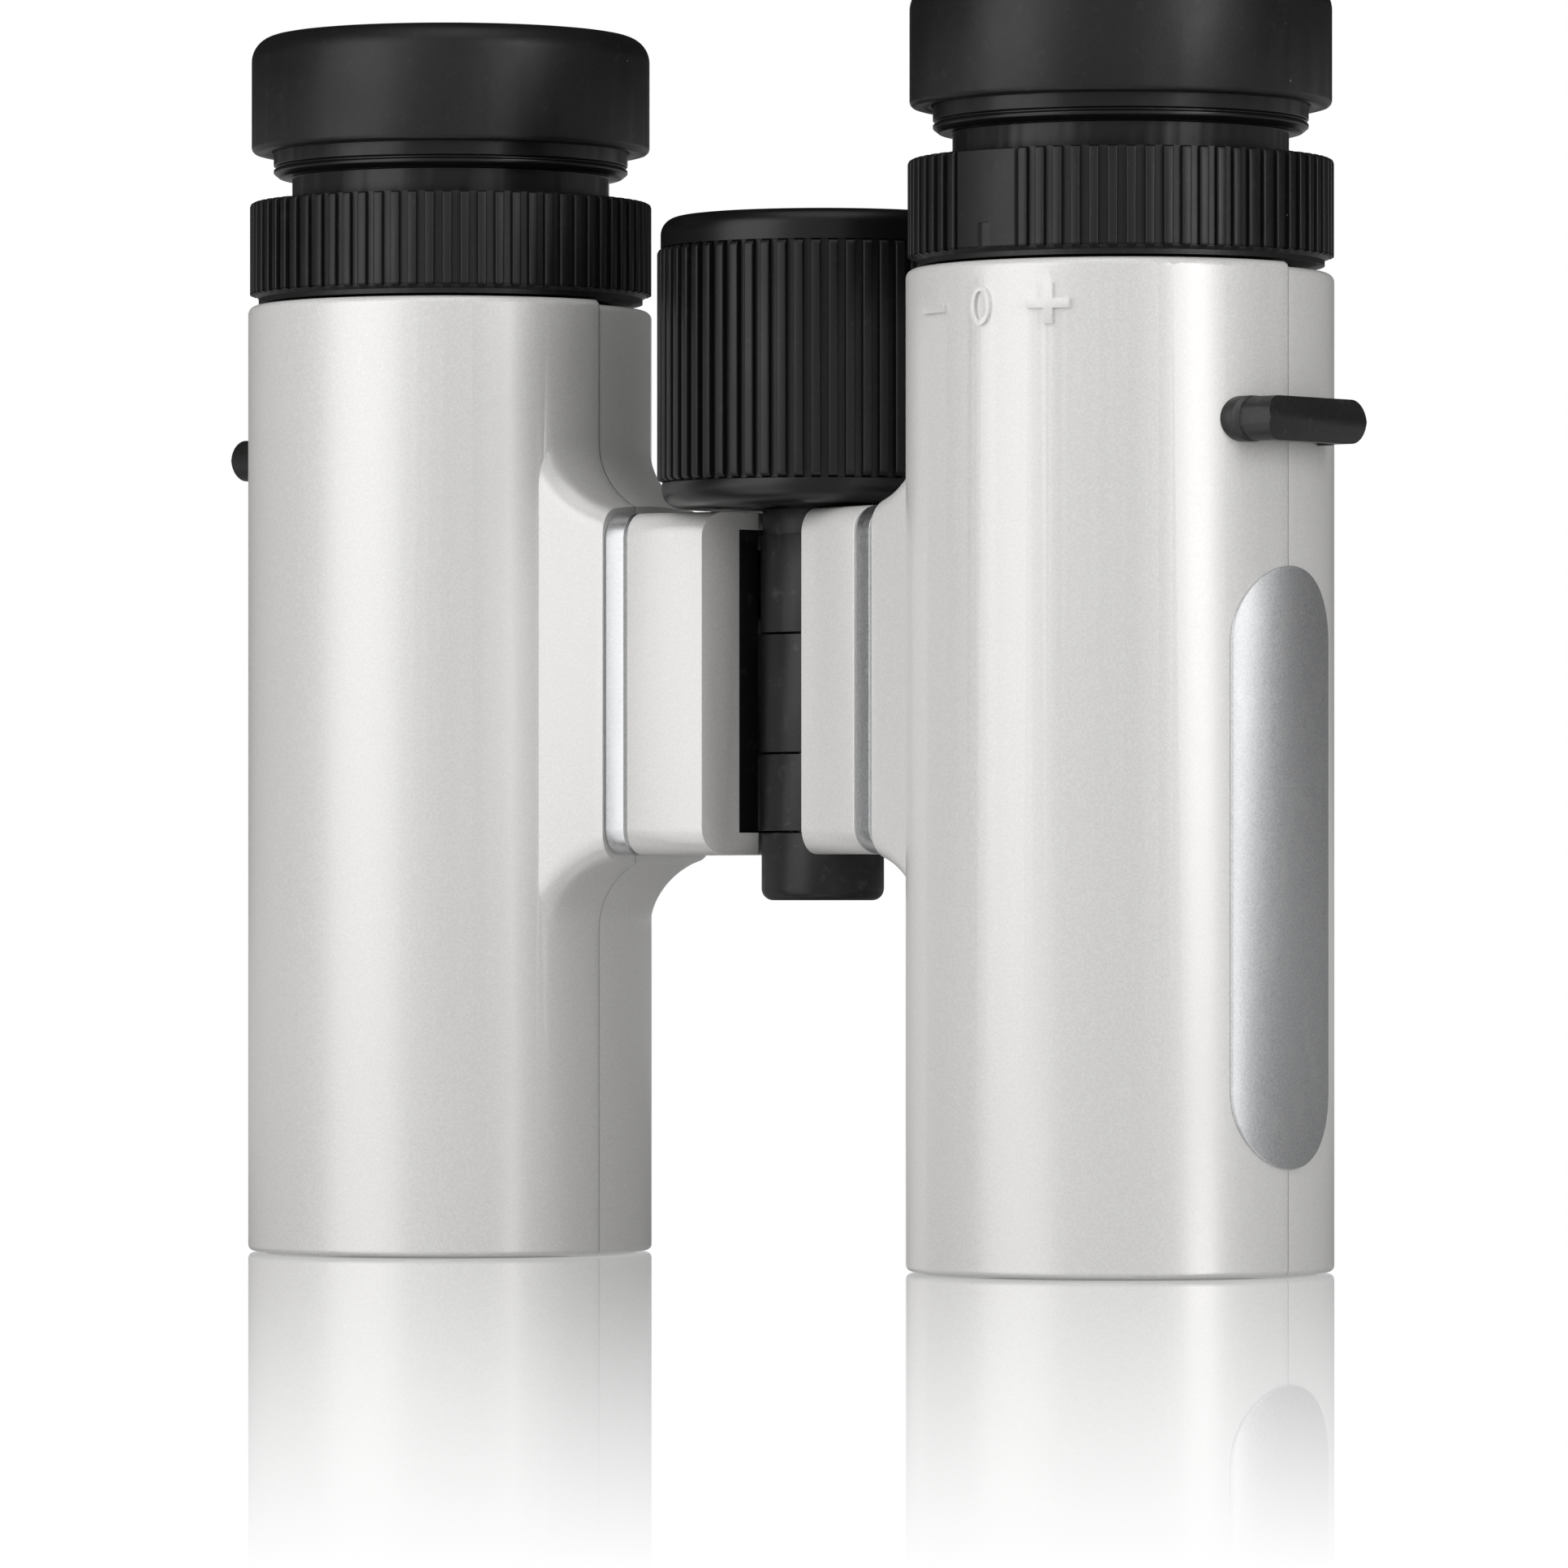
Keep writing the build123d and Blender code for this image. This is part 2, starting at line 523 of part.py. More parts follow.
def prism_holder():
    """The block that fills the barrel round the prisms, open above and below them."""
    with BuildPart() as holder:
        disc(BARREL_INSIDE, HOLDER_LOW, HOLDER_HIGH)
        with BuildSketch(BARREL.offset(PRISM_LOW)):
            Rectangle(2 * PRISM_HALF, 2 * PRISM_HALF)
        extrude(amount=PRISM_HIGH - PRISM_LOW, mode=Mode.SUBTRACT)
        disc(HOLDER_MOUTH_LOW, HOLDER_LOW - 1, PRISM_LOW + 1, mode=Mode.SUBTRACT)
        disc(HOLDER_MOUTH_HIGH, PRISM_HIGH - 1, HOLDER_HIGH + 1, mode=Mode.SUBTRACT)
    return holder


def prisms():
    """A half-pentaprism below and a roof prism above it, with an air gap between them."""
    edge, gap, slope_low, slope_high = PRISM_HALF, 0.6, 54.0, 59.6
    lower = [
        (-edge, PRISM_LOW), (edge, PRISM_LOW), (edge, slope_low), (-4.0, slope_high),
        (-edge, slope_low + 0.2),
    ]
    upper = [
        (edge, slope_low + gap), (edge, PRISM_HIGH), (-edge, PRISM_HIGH),
        (-edge, slope_high + 2.8),
    ]
    with BuildPart() as glass:
        for outline in (lower, upper):
            with BuildSketch(upright(BARREL)):
                with BuildLine():
                    Polyline(*outline, close=True)
                make_face()
            extrude(amount=PRISM_HALF, both=True)
    return glass


def eyepiece_tube():
    """The fixed tube that holds the eyepiece and guides the eyecup, on a flange in the barrel."""
    with BuildPart() as body:
        turn([
            (EYEPIECE_BORE, EYEPIECE_LOW), (BARREL_INSIDE, EYEPIECE_LOW),
            (BARREL_INSIDE, FLANGE_TOP), (EYEPIECE_RADIUS, FLANGE_TOP),
            (EYEPIECE_RADIUS, EYEPIECE_TOP), (EYEPIECE_BORE, EYEPIECE_TOP),
            (EYEPIECE_BORE, EYE_LENS_END), (EYE_LENS_RADIUS, EYE_LENS_END),
            (EYE_LENS_RADIUS, EYE_LENS_SEAT), (EYE_STOP_RADIUS, EYE_LENS_SEAT),
            (EYE_STOP_RADIUS, EYE_STOP_LOW), (EYEPIECE_BORE, EYE_STOP_LOW),
        ])
    return body


def eyepiece_bezel():
    """The chamfered ring over the eye lens."""
    inside, top = 9.3, EYEPIECE_TOP - 0.2
    with BuildPart() as bezel:
        turn([
            (inside, EYE_LENS_END), (EYEPIECE_BORE, EYE_LENS_END), (EYEPIECE_BORE, top),
            (inside + 1.5, top), (inside, EYE_LENS_END + 1),
        ])
    return bezel


def field_cell():
    """The cell of the field lens, which the diopter ring moves along the eyepiece tube."""
    with BuildPart() as cell:
        tube(EYEPIECE_BORE - RUNNING, FIELD_LENS_RADIUS, 80.0, 86.0)
    return cell


def ocular_ring(diopter):
    """The knurled ring. The diopter's has a smooth field with a raised index line."""
    crest, foot_radius = RING_RADIUS + 0.1, RING_ROOT - 0.3
    with BuildPart() as ring:
        ribs(
            RING_RADIUS, RING_ROOT, RING_RIBS, RING_RIB_SHARE, RING_LOW, RING_HIGH, BARREL,
            INDEX_FIELD if diopter else 0,
        )
        if diopter:
            start, end = -90 - INDEX_FIELD / 2, -90 + INDEX_FIELD / 2
            with BuildSketch(BARREL.offset(RING_LOW)):
                with BuildLine():
                    CenterArc((0, 0), FIELD_RADIUS, start, INDEX_FIELD)
                    Polyline(
                        polar(FIELD_RADIUS, end), (0, 0), polar(FIELD_RADIUS, start)
                    )
                make_face()
            extrude(amount=RING_HIGH - RING_LOW)
            with BuildSketch(upright(BARREL).offset(RING_ROOT)):
                with Locations((0, INDEX_Z)):
                    Rectangle(INDEX_WIDTH, INDEX_HEIGHT)
            extrude(amount=RING_RADIUS - RING_ROOT)
        turn([
            (RING_BORE, RING_LOW), (foot_radius, RING_LOW), (foot_radius, RING_LOW + 0.4),
            (RING_ROOT, RING_LOW + 0.75), (crest, RING_LOW + 0.75), (crest, RING_HIGH - 0.7),
            (RING_RADIUS - 0.6, RING_HIGH), (RING_BORE, RING_HIGH),
        ], mode=Mode.INTERSECT)
        disc(RING_HOLLOW, RING_LOW + 1.5, RING_HIGH - 0.9, mode=Mode.SUBTRACT)
    return ring


def cam_ring():
    """The ring inside the knurled ring that turns with the eyecup and makes it rise."""
    with BuildPart() as ring:
        tube(RING_HOLLOW - 0.3, SLEEVE_RADIUS + RUNNING, CAM_LOW, CAM_HIGH)
    return ring


def eyecup_carrier():
    """The eyecup's hard core: a long sleeve with a grooved flange below the rubber."""
    groove_radius, groove_low, groove_high = CORE_RADIUS - 0.3, 93.3, 93.6
    with BuildPart() as carrier:
        turn([
            (SLEEVE_BORE, EYECUP_FOOT), (SLEEVE_RADIUS, EYECUP_FOOT), (SLEEVE_RADIUS, SLEEVE_TOP),
            (CORE_RADIUS - 0.5, SLEEVE_TOP), (CORE_RADIUS, SLEEVE_TOP + 0.4),
            (CORE_RADIUS, groove_low), (groove_radius, groove_low + 0.05),
            (groove_radius, groove_high - 0.05), (CORE_RADIUS, groove_high),
            (CORE_RADIUS, CORE_TOP), (SLEEVE_BORE, CORE_TOP),
        ])
    return carrier


def eyecup_rubber():
    """The soft cup: a thick ring with a rounded rim that turns in over the carrier."""
    shoulder, lip = CUP_RADIUS - CUP_EDGE, CUP_INSIDE + CUP_LIP
    with BuildPart() as cup:
        with BuildSketch(upright(BARREL)):
            with BuildLine():
                Polyline(
                    (CUP_INSIDE, CUP_TOP - CUP_LIP), (CUP_INSIDE, CORE_TOP),
                    (CORE_RADIUS, CORE_TOP), (CORE_RADIUS, CUP_LOW), (CUP_RADIUS, CUP_LOW),
                    (CUP_RADIUS, CUP_TOP - CUP_EDGE),
                )
                CenterArc((shoulder, CUP_TOP - CUP_EDGE), CUP_EDGE, 0, 90)
                Line((shoulder, CUP_TOP), (lip, CUP_TOP))
                CenterArc((lip, CUP_TOP - CUP_LIP), CUP_LIP, 90, 90)
            make_face()
        revolve(axis=Axis(BARREL.origin, (0, 0, 1)))
    return cup


# ---- Outside fittings ---------------------------------------------------------------------
def strap_lug():
    """A pad that follows the barrel, with a straight ridged bar standing on it, and the gap
    behind the bar for the strap."""
    side = Plane(BARREL.origin + Vector(10, 0, LUG_Z), x_dir=(0, 1, 0), z_dir=(1, 0, 0))
    half, face = LUG_HEIGHT / 2, BARREL_X + LUG_REACH
    with BuildPart() as lug:
        with BuildSketch(side):
            SlotOverall(LUG_PAD_LENGTH, LUG_HEIGHT)
        extrude(amount=12)
        tube(BARREL_RADIUS + LUG_PAD, BARREL_RADIUS, 0, RIM_TOP, mode=Mode.INTERSECT)
        with BuildSketch(side):
            RectangleRounded(LUG_BAR_LENGTH, LUG_HEIGHT - 0.1, 1.5)
        extrude(amount=LUG_REACH - 10)
        with BuildSketch(Plane.XZ.offset(20 - BARREL_Y)):
            with BuildLine():
                Polyline(
                    (BARREL_X, LUG_Z - half), (face - LUG_RIDGE, LUG_Z - half), (face, LUG_Z),
                    (face - LUG_RIDGE, LUG_Z + half), (BARREL_X, LUG_Z + half), close=True,
                )
            make_face()
        extrude(amount=-40, mode=Mode.INTERSECT)
        disc(BARREL_RADIUS, 0, RIM_TOP, mode=Mode.SUBTRACT)
        with BuildSketch(BARREL):
            with Locations((LUG_REACH - LUG_BAR - 2, 0)):
                RectangleRounded(4.0, 2 * LUG_GAP_HALF, 0.7)
        extrude(amount=RIM_TOP, mode=Mode.SUBTRACT)
    return lug


def badge():
    """A thin metal plate with round ends that follows the barrel's outer side."""
    with BuildPart() as plate:
        with BuildSketch(Plane(
            BARREL.origin + Vector(10, 0, (BADGE_LOW + BADGE_HIGH) / 2),
            x_dir=(0, 1, 0), z_dir=(1, 0, 0),
        )):
            SlotOverall(BADGE_HIGH - BADGE_LOW, BADGE_WIDTH, rotation=90)
        extrude(amount=12)
        tube(
            BARREL_RADIUS + BADGE_THICK, BARREL_RADIUS, 0, RIM_TOP, mode=Mode.INTERSECT
        )
    return plate


# ---- Build and write ----------------------------------------------------------------------
# Pieces that both halves have, made for the right-hand side and mirrored for the left.
BOTH_SIDES = {
    "top_shell": top_shell,
    "arm_band": arm_band,
    "arm_cap": arm_cap,
    "arm_screws": arm_screws,
    "strap_lug": strap_lug,
    "badge": badge,
    "objective_cell": objective_cell,
    "objective_ring": objective_ring,
    "objective_lens": lambda: lens(OBJECTIVE_RADIUS, OBJECTIVE_LOW, OBJECTIVE_HIGH, 1.3, 0.6),
    "focus_lens": lambda: lens(CELL_BORE, 37.4, 39.6, -0.5, 0.6),
    "prism_holder": prism_holder,
    "prisms": prisms,
    "eyepiece_tube": eyepiece_tube,
    "field_cell": field_cell,
    "field_lens": lambda: lens(FIELD_LENS_RADIUS, 81.4, 83.8, 0.7, 0.9),
    "eye_lens": lambda: lens(EYE_LENS_RADIUS, 92.5, 95.6, 0.4, 0.35),
    "eyepiece_bezel": eyepiece_bezel,
    "cam_ring": cam_ring,
    "eyecup_carrier": eyecup_carrier,
    "eyecup_rubber": eyecup_rubber,
}

# Pieces that differ between the halves: the right-hand maker, and the left-hand maker, whose
# piece is made on the right-hand side too and then mirrored.
PAIRS = {
    ("right_belly_shell", "left_belly_shell"): (
        lambda: belly_shell(True), lambda: belly_shell(False),
    ),
    ("right_hinge_arm", "left_hinge_arm"): (
        lambda: hinge_arm([MID_KNUCKLE], RIGHT_LINK_LOW, RUNNING),
        lambda: hinge_arm([LOW_KNUCKLE, HIGH_KNUCKLE], LEFT_LINK_LOW, 0),
    ),
    ("right_focus_link", "left_focus_link"): (
        lambda: focus_link(RIGHT_LINK_LOW), lambda: focus_link(LEFT_LINK_LOW),
    ),
    ("diopter_ring", "left_ocular_ring"): (
        lambda: ocular_ring(True), lambda: ocular_ring(False),
    ),
}

ON_HINGE_AXIS = {
    "hinge_pin": hinge_pin,
    "hinge_front_cap": hinge_front_cap,
    "hinge_bush": hinge_bush,
    "focus_rod": focus_rod,
    "focus_nut": focus_nut,
    "focus_wheel_hub": focus_wheel_hub,
    "focus_wheel_grip": focus_wheel_grip,
    "focus_wheel_cap": focus_wheel_cap,
}


def write(piece, name):
    piece.part.label = name
    export_step(piece.part, f"parts/{name}.step")


def mirrored(right):
    with BuildPart() as left:
        mirror(right.part, about=Plane.YZ)
    return left


os.makedirs("parts", exist_ok=True)
for name, make in BOTH_SIDES.items():
    piece = make()
    write(piece, f"right_{name}")
    write(mirrored(piece), f"left_{name}")
for (right_name, left_name), (make_right, make_left) in PAIRS.items():
    write(make_right(), right_name)
    write(mirrored(make_left()), left_name)
for name, make in ON_HINGE_AXIS.items():
    write(make(), name)
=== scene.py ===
"""The looks of a pair of compact binoculars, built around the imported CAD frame.

Lengths are metres in the CAD's frame: +Z up the optical axes, +X to the user's right barrel,
+Y to the top side, where the hinge is.
"""

import json
from math import cos, pi, radians, sin

import bmesh
import bpy
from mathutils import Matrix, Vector


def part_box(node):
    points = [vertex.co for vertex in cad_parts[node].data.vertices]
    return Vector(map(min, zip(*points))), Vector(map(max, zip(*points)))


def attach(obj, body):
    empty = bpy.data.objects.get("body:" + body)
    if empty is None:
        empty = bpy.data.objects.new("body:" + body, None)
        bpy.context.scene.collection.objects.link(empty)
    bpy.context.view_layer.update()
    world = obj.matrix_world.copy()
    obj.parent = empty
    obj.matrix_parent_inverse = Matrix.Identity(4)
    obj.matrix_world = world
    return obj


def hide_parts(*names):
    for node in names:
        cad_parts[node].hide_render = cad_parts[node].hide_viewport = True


MM = 0.001

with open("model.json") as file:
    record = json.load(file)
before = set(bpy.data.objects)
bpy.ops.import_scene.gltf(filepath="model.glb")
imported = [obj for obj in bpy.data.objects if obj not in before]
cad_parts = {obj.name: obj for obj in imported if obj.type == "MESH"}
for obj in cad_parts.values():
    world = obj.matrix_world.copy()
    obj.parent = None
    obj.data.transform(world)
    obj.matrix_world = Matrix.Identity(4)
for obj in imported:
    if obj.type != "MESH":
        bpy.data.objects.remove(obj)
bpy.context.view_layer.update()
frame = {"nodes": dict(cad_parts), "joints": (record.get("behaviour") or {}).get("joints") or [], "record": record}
nodes = frame["nodes"]

# ---- Places read from the frame -------------------------------------------------------------
JOINTS = {joint["name"]: joint for joint in frame["joints"]}
HINGE = Vector(JOINTS["fold"]["pos_m"])
BARRELS = {
    side: Vector(JOINTS[f"{side}_eyecup_turn"]["pos_m"]) for side in ("left", "right")
}

# ---- Camera and studio ----------------------------------------------------------------------
CAMERA_AT = Vector((548.3, -617.6, 29.6)) * MM
VIEW_AZIMUTH = radians(41.6)
FOCAL, SENSOR, SHIFT_UP = 225.6, 36.0, 0.0787
TO_CAMERA = Vector((sin(VIEW_AZIMUTH), -cos(VIEW_AZIMUTH), 0))
SOFT_TURN = 0.5    # radians towards the picture's left, where most soft light comes from
SOFT_SIDE = Vector((sin(VIEW_AZIMUTH - SOFT_TURN), -cos(VIEW_AZIMUTH - SOFT_TURN), 0))

# Brightness of the studio before and behind the object, in reflections and as soft light, and
# the cosines from the camera's direction, or from SOFT_SIDE, between which it changes.
GLOSS_FRONT, GLOSS_BACK = 0.40, 0.02
SOFT_FRONT, SOFT_BACK = 0.66, 0.07
GLOSS_CHANGE = (0.15, 0.8)
SOFT_CHANGE = (-0.35, 0.3)
BACKDROP_ANGLE = radians(10)       # from straight behind the object to the backdrop's edge

LIGHT_TARGET = Vector((0, 0, 55)) * MM
FLOOR_HALF, FLOOR_DROP = 6, 0.1 * MM
FLOOR_CORNERS = ((-1, -1), (1, -1), (1, 1), (-1, 1))
FLOOR_LIGHT = 0.42                 # what it adds to the object's light, where 1 is white
FLOOR_RAY_DEPTH = 2.5              # the floor's first mirror ray meets the world below this
MIRROR_STRENGTH, MIRROR_REACH, MIRROR_FALL = 0.78, 0.385, 1.6


def add_camera():
    data = bpy.data.cameras.new("camera")
    data.lens = FOCAL
    data.sensor_width = SENSOR
    data.shift_y = SHIFT_UP
    data.clip_start, data.clip_end = 0.01, 20
    camera = bpy.data.objects.new("camera", data)
    camera.location = CAMERA_AT
    camera.rotation_euler = (pi / 2, 0, VIEW_AZIMUTH)
    bpy.context.scene.collection.objects.link(camera)
    bpy.context.scene.camera = camera


def beside_view(angle, distance, up):
    """A place at an angle from the camera's direction, towards the picture's right."""
    turned = VIEW_AZIMUTH + radians(angle)
    return Vector((distance * sin(turned), -distance * cos(turned), up))


def add_softbox(
    name, angle, distance, up, width, height, radiance, reflected=True, colour=(1, 1, 1)
):
    """A rectangular light of a known brightness that faces the middle of the object.

    angle is in degrees, as in beside_view, and reflected says if glossy surfaces show it.
    """
    data = bpy.data.lights.new(name, "AREA")
    data.shape = "RECTANGLE"
    data.size, data.size_y = width, height
    data.energy = radiance * pi * width * height
    data.color = colour
    lamp = bpy.data.objects.new(name, data)
    lamp.location = beside_view(angle, distance, up)
    lamp.rotation_euler = (LIGHT_TARGET - lamp.location).to_track_quat("-Z", "Y").to_euler()
    lamp.visible_camera = False
    lamp.visible_glossy = reflected
    bpy.context.scene.collection.objects.link(lamp)


class Wires:
    """Short ways to add and join the nodes of one node tree."""

    def __init__(self, tree):
        self.tree = tree

    def node(self, kind, settings=None, **inputs):
        made = self.tree.nodes.new(kind)
        for name, value in (settings or {}).items():
            setattr(made, name, value)
        for name, value in inputs.items():
            self.give(made.inputs[name.replace("_", " ")], value)
        return made

    def give(self, socket, value):
        if isinstance(value, bpy.types.NodeSocket):
            self.tree.links.new(value, socket)
        else:
            socket.default_value = value

    def math(self, operation, *values, clamp=False):
        made = self.node("ShaderNodeMath", {"operation": operation, "use_clamp": clamp})
        for socket, value in zip(made.inputs, values):
            self.give(socket, value)
        return made.outputs[0]

    def mix(self, factor, first, second):
        made = self.node("ShaderNodeMix", {"data_type": "RGBA"})
        for name, value in (("Factor", factor), ("A", first), ("B", second)):
            socket = next(s for s in made.inputs if s.name == name and s.enabled)
            self.give(socket, (*value, 1) if isinstance(value, tuple) else value)
        return next(s for s in made.outputs if s.enabled)

    def cosine(self, direction, fixed):
        """The dot product of a direction with a fixed one."""
        made = self.node("ShaderNodeVectorMath", {"operation": "DOT_PRODUCT"})
        self.give(made.inputs[0], direction)
        made.inputs[1].default_value = fixed
        return made.outputs["Value"]

    def place(self):
        return self.node("ShaderNodeTexCoord").outputs["Object"]

    def noise(self, scale, detail=4.0, roughness=0.55, stretch=None):
        """Cloudy noise, where stretch gives the scale of each axis."""
        vector = self.place()
        if stretch:
            vector = self.node("ShaderNodeMapping", Vector=vector, Scale=stretch).outputs[0]
        return self.node(
            "ShaderNodeTexNoise", Vector=vector, Scale=scale, Detail=detail,
            Roughness=roughness,
        ).outputs["Fac"]

    def spread(self, value, low, high, start=0.3, end=0.7):
        """value, from start to end, becomes low to high."""
        made = self.node("ShaderNodeMapRange", Value=value)
        for name, number in (
            ("From Min", start), ("From Max", end), ("To Min", low), ("To Max", high),
        ):
            made.inputs[name].default_value = number
        return made.outputs["Result"]

    def specks(self, per_metre, radius, kept):
        """Tiny round specks: kept is the share of the cells that have one."""
        cells = self.node("ShaderNodeTexVoronoi", Vector=self.place(), Scale=per_metre)
        near = self.math("LESS_THAN", cells.outputs["Distance"], radius * per_metre)
        chosen = self.math(
            "LESS_THAN", self.node(
                "ShaderNodeSeparateColor", Color=cells.outputs["Color"]
            ).outputs[0], kept,
        )
        return self.math("MULTIPLY", near, chosen)

    def bump(self, height, strength, depth, under=None):
        made = self.node("ShaderNodeBump", Height=height, Strength=strength, Distance=depth)
        if under:
            self.give(made.inputs["Normal"], under)
        return made.outputs["Normal"]


def add_world():
    """White behind the object; a studio that is bright in front and dim behind lights it."""
    world = bpy.data.worlds.new("studio")
    bpy.context.scene.world = world
    world.use_nodes = True
    wires = Wires(world.node_tree)
    background = world.node_tree.nodes["Background"]
    way = wires.node("ShaderNodeTexCoord").outputs["Generated"]
    facing = wires.cosine(way, TO_CAMERA)
    room = wires.spread(facing, GLOSS_BACK, GLOSS_FRONT, *GLOSS_CHANGE)
    backdrop = wires.math("LESS_THAN", facing, -cos(BACKDROP_ANGLE))
    room = wires.math("MAXIMUM", room, backdrop)
    rays = wires.node("ShaderNodeLightPath")
    soft = wires.spread(wires.cosine(way, SOFT_SIDE), SOFT_BACK, SOFT_FRONT, *SOFT_CHANGE)
    soft = wires.math("MULTIPLY", rays.outputs["Is Diffuse Ray"], soft)
    room = wires.math("MAXIMUM", room, soft)
    # The floor's own mirror image of the surroundings is white from every side.
    first = wires.math("LESS_THAN", rays.outputs["Ray Depth"], FLOOR_RAY_DEPTH)
    in_floor = wires.math("MULTIPLY", rays.outputs["Is Singular Ray"], first)
    room = wires.math("MAXIMUM", room, in_floor)
    room = wires.math("MAXIMUM", room, rays.outputs["Is Camera Ray"])
    wires.give(background.inputs["Strength"], room)
    background.inputs["Color"].default_value = (1, 1, 1, 1)


def floor_material():
    """A white floor that mirrors what stands on it, less and less with distance."""
    material = bpy.data.materials.new("white_gloss_floor")
    material.use_nodes = True
    tree = material.node_tree
    tree.nodes.clear()
    wires = Wires(tree)
    place = wires.node("ShaderNodeSeparateXYZ", Vector=wires.place())
    squares = [
        wires.math("POWER", wires.math("ABSOLUTE", place.outputs[axis]), 2.0) for axis in (0, 1)
    ]
    across = wires.math("SQRT", wires.math("ADD", *squares))
    fall = wires.math("POWER", wires.math("DIVIDE", across, MIRROR_REACH), MIRROR_FALL)
    mirror = wires.math(
        "MULTIPLY", wires.math("SUBTRACT", 1.0, fall, clamp=True), MIRROR_STRENGTH
    )
    rays = wires.node("ShaderNodeLightPath")
    seen = rays.outputs["Is Camera Ray"]
    mirrors = wires.math("MAXIMUM", seen, rays.outputs["Is Glossy Ray"])
    white = wires.node("ShaderNodeEmission", Strength=wires.spread(seen, FLOOR_LIGHT, 1, 0, 1))
    gloss = wires.node("ShaderNodeBsdfGlossy", Roughness=0.0)
    gloss.inputs["Color"].default_value = (1, 1, 1, 1)
    both = wires.node("ShaderNodeMixShader")
    wires.give(both.inputs[0], wires.math("MULTIPLY", mirror, mirrors))
    wires.give(both.inputs[1], white.outputs[0])
    wires.give(both.inputs[2], gloss.outputs[0])
    # From below the floor isn't there.
    from_below = wires.node("ShaderNodeMixShader")
    backfacing = wires.node("ShaderNodeNewGeometry").outputs["Backfacing"]
    wires.give(from_below.inputs[0], wires.math("MULTIPLY", backfacing, seen))
    wires.give(from_below.inputs[1], both.outputs[0])
    wires.give(from_below.inputs[2], wires.node("ShaderNodeBsdfTransparent").outputs[0])
    output = wires.node("ShaderNodeOutputMaterial")
    wires.give(output.inputs["Surface"], from_below.outputs[0])
    return material


def add_studio():
    bpy.context.scene.view_settings.view_transform = "Standard"
    add_world()
    # Angle, distance and height of each light, then its width, height and brightness.
    add_softbox("key_left", -53.6, 0.338, 0.10, 0.27, 0.50, 1.42)
    add_softbox("strip_right", 42, 1.0, 0.15, 0.28, 1.2, 4.1)
    add_softbox("fill_right", 98, 0.6, 0.15, 0.4, 0.6, 0.55, reflected=False)
    add_softbox(
        "fill_left", -105, 0.6, 0.15, 0.4, 0.6, 0.85, reflected=False, colour=(1, 0.95, 0.89)
    )
    add_softbox("fill_back", 180, 0.8, 0.20, 0.9, 0.8, 1.1, reflected=False)
    add_softbox("overhead", 0, 0.15, 0.7, 0.5, 0.5, 0.8)
    mesh = bpy.data.meshes.new("floor")
    corners = [(x * FLOOR_HALF, y * FLOOR_HALF, 0) for x, y in FLOOR_CORNERS]
    mesh.from_pydata(corners, [], [(0, 1, 2, 3)])
    floor = bpy.data.objects.new("floor", mesh)
    bpy.context.scene.collection.objects.link(floor)
    floor.location.z = -FLOOR_DROP
    mesh.materials.append(floor_material())


# ---- Materials ------------------------------------------------------------------------------
FLAKE_SCALE = 5200                 # cells per metre of the finest grain
GROOVE_HALF, GROOVE_DEPTH = 0.13 * MM, 0.09 * MM
DUST_PER_METRE, DUST_RADIUS, DUST_SHARE = 330, 0.09 * MM, 0.13
ROUGHNESS_RANGE = 0.06             # how far a roughness strays to each side of its middle


def new_material(name):
    material = bpy.data.materials.new(name)
    material.use_nodes = True
    return material, Wires(material.node_tree), material.node_tree.nodes["Principled BSDF"]


def pearl_white(name="pearl_white", seam=None):
    """Slightly warm white paint full of fine flakes, under a thin clear coat.

    seam is the Y of a plane along which two painted shells meet with a fine groove: the groove is bumped in, and
    the paint along it is darkened as painted shade.
    """
    material, wires, shader = new_material(name)
    flakes = wires.spread(wires.noise(FLAKE_SCALE, 3, 0.6), 0, 1, 0.40, 0.64)
    clouds = wires.spread(wires.noise(60, 3), 0, 1)
    wavy = wires.spread(wires.noise(520, 3, 0.5), 0, 1, 0.3, 0.7)
    paint = wires.mix(flakes, (0.805, 0.795, 0.778), (0.885, 0.88, 0.868))
    paint = wires.mix(wires.math("MULTIPLY", clouds, 0.25), paint, (0.85, 0.845, 0.84))
    paint = wires.mix(wires.math("MULTIPLY", wavy, 0.12), paint, (0.80, 0.79, 0.775))
    if seam is not None:
        upward = wires.node("ShaderNodeSeparateXYZ", Vector=wires.place()).outputs["Y"]
        away = wires.math("ABSOLUTE", wires.math("SUBTRACT", upward, seam))
        groove_and_painted_shade = wires.spread(away, 1, 0, 0, GROOVE_HALF)
        # Painted shade: the paint is darkened along the seam's groove, where shade would fall in it.
        paint = wires.mix(wires.math("MULTIPLY", groove_and_painted_shade, 0.22), paint, (0.42, 0.41, 0.40))
    wires.give(shader.inputs["Base Color"], paint)
    wires.give(
        shader.inputs["Roughness"], wires.spread(wires.noise(FLAKE_SCALE, 2), 0.33, 0.43)
    )
    shader.inputs["Metallic"].default_value = 0.24
    shader.inputs["Coat Weight"].default_value = 0.35
    shader.inputs["Coat Roughness"].default_value = 0.16
    surface = wires.bump(wavy, 0.35, 0.012 * MM)
    surface = wires.bump(flakes, 0.16, 0.01 * MM, under=surface)
    if seam is not None:
        raised = wires.math("SUBTRACT", 1.0, groove_and_painted_shade)
        surface = wires.bump(raised, 1.0, GROOVE_DEPTH, under=surface)
    wires.give(shader.inputs["Normal"], surface)
    return material


